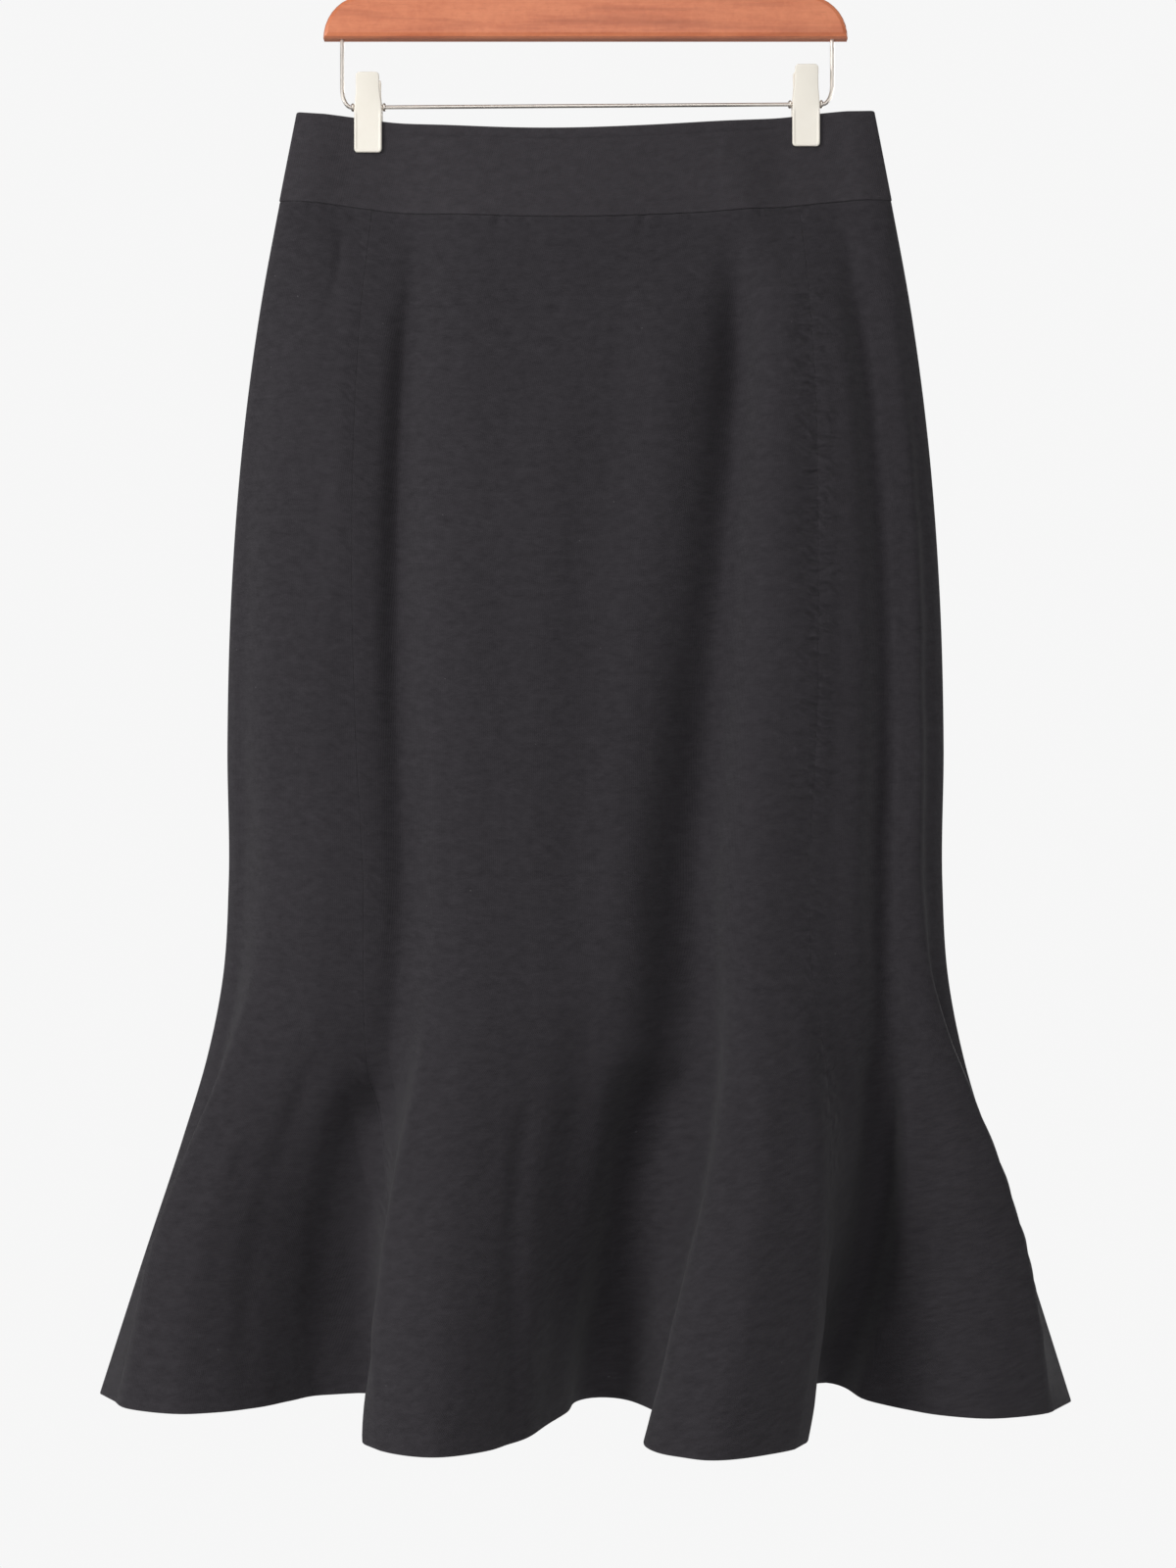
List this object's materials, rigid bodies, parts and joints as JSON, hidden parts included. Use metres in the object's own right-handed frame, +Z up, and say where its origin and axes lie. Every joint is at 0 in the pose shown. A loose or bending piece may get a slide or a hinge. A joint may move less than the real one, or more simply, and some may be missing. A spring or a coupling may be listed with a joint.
{
  "type": "mermaid fishtail skirt on a clip hanger",
  "caption": "Fitted midi skirt of six gores with a fluted fishtail hem and a wide waistband, hung flat from a wooden clip hanger.",
  "frame": {"origin": "where a rail holds the hook: the inside of the top of the hook", "axes": "+Z up, +X to the right as seen from the front, the front of the skirt faces -Y"},
  "size_m": [0.6144, 0.2345, 0.9857],
  "materials": {
    "body_knit": "matte black heavy knit with a fine napped face",
    "band_knit": "matte black double knit, slightly lighter than the body",
    "varnished_wood": "reddish varnished wood, satin",
    "plated_wire": "bright plated steel wire",
    "cream_clip": "cream coating, soft gloss"
  },
  "bodies": {
    "root": {"gore_front_left": "body_knit", "gore_front_centre": "body_knit", "gore_front_right": "body_knit", "gore_back_left": "body_knit", "gore_back_centre": "body_knit", "gore_back_right": "body_knit", "waistband_front": "band_knit", "waistband_back": "band_knit", "hanger_bar": "varnished_wood", "hook": "plated_wire", "hook_collar": "plated_wire", "rod_wire": "plated_wire", "clip_left_spring": "plated_wire", "clip_left_collar_left": "plated_wire", "clip_left_collar_right": "plated_wire", "clip_right_spring": "plated_wire", "clip_right_collar_left": "plated_wire", "clip_right_collar_right": "plated_wire", "clip_left_front": "cream_clip", "clip_left_back": "cream_clip", "clip_right_front": "cream_clip", "clip_right_back": "cream_clip"}
  },
  "joints": []
}
